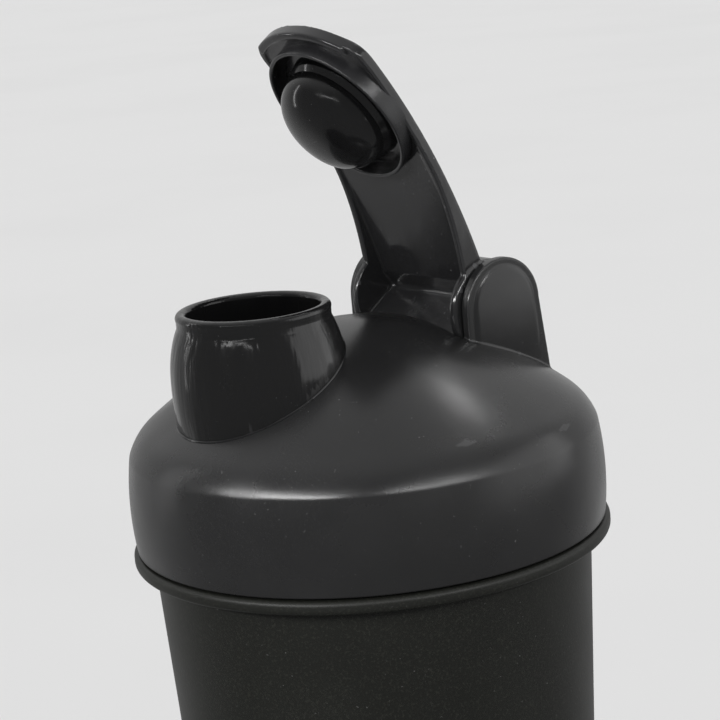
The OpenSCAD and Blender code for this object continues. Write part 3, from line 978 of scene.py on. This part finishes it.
def smoky_plastic():
    """The cup: olive black with a fine moulded grain."""
    r = Recipe("smoky_black", (0.0060, 0.0064, 0.0049), 0.42, IOR=1.5, Specular_IOR_Level=0.36)
    r.tint((0.0085, 0.0092, 0.0072), r.ramp(r.noise(26, 4), 0.38, 0.72, 0, 0.8))
    grain = r.noise(1900, 3, 0.6)
    r.tint((0.020, 0.021, 0.016), r.ramp(grain, 0.50, 0.72, 0, 0.6))
    r.roughen(0.12, r.noise(50, 4))
    add_scuffs(r, 0.14, (0.07, 0.07, 0.06), 0.4)
    r.tint((0.05, 0.052, 0.044), r.edges())
    add_dust(r, 0.2)
    r.emboss(0.00003, grain)
    r.emboss(0.0001, r.noise(55, 2, 0.5))
    return r.finish()


def silicone():
    """Soft grey silicone with a little dust."""
    r = Recipe("seal_grey", (0.19, 0.195, 0.20), 0.52, IOR=1.42)
    r.shader.inputs["Subsurface Weight"].default_value = 0.15
    r.shader.inputs["Subsurface Scale"].default_value = 0.001
    r.tint((0.25, 0.25, 0.25), r.ramp(r.noise(120, 3), 0.4, 0.7, 0, 0.7))
    r.roughen(0.12, r.noise(400, 3))
    add_dust(r, 0.6, (0.5, 0.5, 0.48))
    r.emboss(0.00003, r.noise(1500, 2))
    return r.finish()


def drawn_steel():
    """Bright drawn stainless wire."""
    r = Recipe("drawn_steel", (0.62, 0.63, 0.64), 0.20, Metallic=1.0)
    r.tint((0.50, 0.50, 0.50), r.ramp(r.noise(90, 4), 0.45, 0.75, 0, 0.6))
    r.roughen(0.16, r.noise(240, 4))
    r.roughen(0.10, r.noise(2600, 2))
    r.emboss(0.00002, r.noise(3200, 3, 0.6))
    return r.finish()


def pale_floor():
    r = Recipe("pale_floor", (0.80, 0.80, 0.80), 0.65)
    r.tint((0.77, 0.77, 0.77), r.ramp(r.noise(3, 3), 0.4, 0.7, 0, 0.5))
    r.roughen(0.08, r.noise(20, 3))
    return r.finish()


# ---- stage --------------------------------------------------------------------------

def add_floor():
    """A plain floor, left out of reflections."""
    low, high = -FLOOR_HALF, FLOOR_HALF
    corners = [(low, low, 0), (high, low, 0), (high, high, 0), (low, high, 0)]
    floor = make_object("floor", corners, [[0, 1, 2, 3]], None)
    floor.data.materials.append(pale_floor())
    floor.visible_glossy = False
    return floor


def way_out(azimuth, elevation):
    """The way from the bottle towards a compass angle and an elevation, in degrees."""
    a, e = math.radians(azimuth), math.radians(elevation)
    return Vector((math.cos(e) * math.sin(a), -math.cos(e) * math.cos(a), math.sin(e)))


def add_camera():
    azimuth, elevation, roll = CAMERA_ANGLES
    a, k = math.radians(azimuth), math.radians(roll)
    back = way_out(azimuth, elevation)
    level = Vector((math.cos(a), math.sin(a), 0))
    over = back.cross(level)
    right = math.cos(k) * level - math.sin(k) * over
    up = math.sin(k) * level + math.cos(k) * over
    spot = Vector(CAMERA_AIM) * MM + back * CAMERA_DISTANCE * MM
    data = bpy.data.cameras.new("camera")
    data.lens = LENS
    data.sensor_width = SENSOR
    camera = bpy.data.objects.new("camera", data)
    bpy.context.scene.collection.objects.link(camera)
    camera.matrix_world = Matrix((
        (right.x, up.x, back.x, spot.x),
        (right.y, up.y, back.y, spot.y),
        (right.z, up.z, back.z, spot.z),
        (0, 0, 0, 1),
    ))
    bpy.context.scene.camera = camera


def add_softbox(name, azimuth, elevation, distance, width, height, power):
    """A rectangular light that faces the lid, with its distance and size in metres."""
    back = way_out(azimuth, elevation)
    data = bpy.data.lights.new(name, "AREA")
    data.shape = "RECTANGLE"
    data.size = width
    data.size_y = height
    data.energy = power
    light = bpy.data.objects.new(name, data)
    bpy.context.scene.collection.objects.link(light)
    light.location = Vector(LIGHTS_AIM) * MM + back * distance
    light.visible_camera = False
    light.rotation_mode = "QUATERNION"
    light.rotation_quaternion = back.to_track_quat("Z", "Y")
    return light


def add_world():
    """A pale backdrop, and for reflections a studio that is bright behind the bottle and
    overhead, and dim where the photographer stands."""
    world = bpy.data.worlds.new("studio")
    world.use_nodes = True
    tree = world.node_tree
    seen = tree.nodes["Background"]
    seen.inputs["Color"].default_value = (*BACKDROP, 1)
    seen.inputs["Strength"].default_value = 1.0
    studio = tree.nodes.new("ShaderNodeBackground")
    way = tree.nodes.new("ShaderNodeTexCoord").outputs["Generated"]

    def towards(direction, low, high, out_low, out_high):
        """A brightness that grows towards a direction."""
        dot = tree.nodes.new("ShaderNodeVectorMath")
        dot.operation = "DOT_PRODUCT"
        dot.inputs[1].default_value = Vector(direction).normalized()
        tree.links.new(way, dot.inputs[0])
        return add_ramp(tree, dot.outputs["Value"], low, high, out_low, out_high)

    strength = tree.nodes.new("ShaderNodeMath")
    strength.operation = "ADD"
    tree.links.new(towards((-0.79, 0.61, 0.10), 0.0, 0.8, 0.22, 0.62), strength.inputs[0])
    tree.links.new(towards((-0.2, 0.15, 1), 0.35, 0.95, 0.0, 0.55), strength.inputs[1])
    tree.links.new(strength.outputs[0], studio.inputs["Strength"])
    seen_by_camera = tree.nodes.new("ShaderNodeLightPath").outputs["Is Camera Ray"]
    pick = tree.nodes.new("ShaderNodeMixShader")
    tree.links.new(seen_by_camera, pick.inputs[0])
    tree.links.new(studio.outputs[0], pick.inputs[1])
    tree.links.new(seen.outputs[0], pick.inputs[2])
    tree.links.new(pick.outputs[0], tree.nodes["World Output"].inputs["Surface"])
    bpy.context.scene.world = world


def shine_on(light, objects):
    """Keeps a light for some objects only."""
    chosen = bpy.data.collections.new(light.name + "_only")
    for obj in objects:
        chosen.objects.link(obj)
    light.light_linking.receiver_collection = chosen


def add_floor_light(floor):
    """A broad soft light for the floor alone, which keeps it pale and even."""
    data = bpy.data.lights.new("floor_light", "SUN")
    data.energy = 1.5
    data.angle = math.radians(70)
    light = bpy.data.objects.new("floor_light", data)
    light.rotation_euler = (0.35, 0.25, 0)
    bpy.context.scene.collection.objects.link(light)
    shine_on(light, [floor])


def add_lights(pieces):
    """Softboxes for the bottle; the two keys leave the most polished pieces out."""
    matte = [obj for obj in pieces if obj.name not in ("lid_spout", "cap_plug")]
    for lit, name, azimuth, elevation, distance, width, height, power in (
        (matte, "key_light", 8, 24, 1.0, 1.0, 0.08, 8.5),
        (matte, "side_key", 84, 24, 1.0, 0.70, 0.06, 3.6),
        (pieces, "glint_light", 24, 30, 1.0, 0.80, 0.03, 0.45),
        (pieces, "top_light", 184, 55, 1.0, 0.20, 0.13, 0.4),
        (pieces, "right_panel", 136, 12, 1.0, 1.1, 0.76, 2.8),
        (pieces, "left_strip", -54, 12, 0.9, 0.03, 0.7, 0.4),
    ):
        shine_on(add_softbox(name, azimuth, elevation, distance, width, height, power), lit)


# ---- assembly -----------------------------------------------------------------------

def place(obj, material, body, slot, node):
    """Gives a piece its material and its body, hides the CAD part it stands for, and returns
    it; slot is not used.
    """
    obj.data.materials.clear()
    obj.data.materials.append(material)
    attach(obj, body)
    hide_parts(node)
    return obj


def build_bottle():
    """Builds every piece, opens the flip cap, and returns the pieces."""
    satin = satin_plastic()
    polished = polished_plastic()
    gloss = polished_plastic("gloss_black", (0.014, 0.014, 0.0145), 0.11, 0.00002)
    pieces = [
        place(build_cup(), smoky_plastic(), "cup", "cup_plastic", "cup"),
        place(build_lid_shell(), satin, "lid", "lid_plastic", "lid"),
        place(build_spout(), polished, "lid", "lid_plastic", "lid"),
        place(build_ear(1), satin, "lid", "lid_plastic", "lid"),
        place(build_ear(-1), satin, "lid", "lid_plastic", "lid"),
        place(build_seal(), silicone(), "seal", "seal_silicone", "lid_seal"),
        place(build_whisk(), drawn_steel(), "whisk_ball", "whisk_wire", "whisk_ball"),
    ]
    for part, material in ((build_cap_plate(), gloss), (build_cap_ring(), striated_plastic()),
                           (build_cap_plug(), gloss)):
        open_cap(part)
        pieces.append(place(part, material, "flip_cap", "cap_plastic", "flip_cap"))
    return pieces


add_camera()
add_world()
add_floor_light(add_floor())
add_lights(build_bottle())
bpy.context.scene.view_settings.view_transform = "Standard"
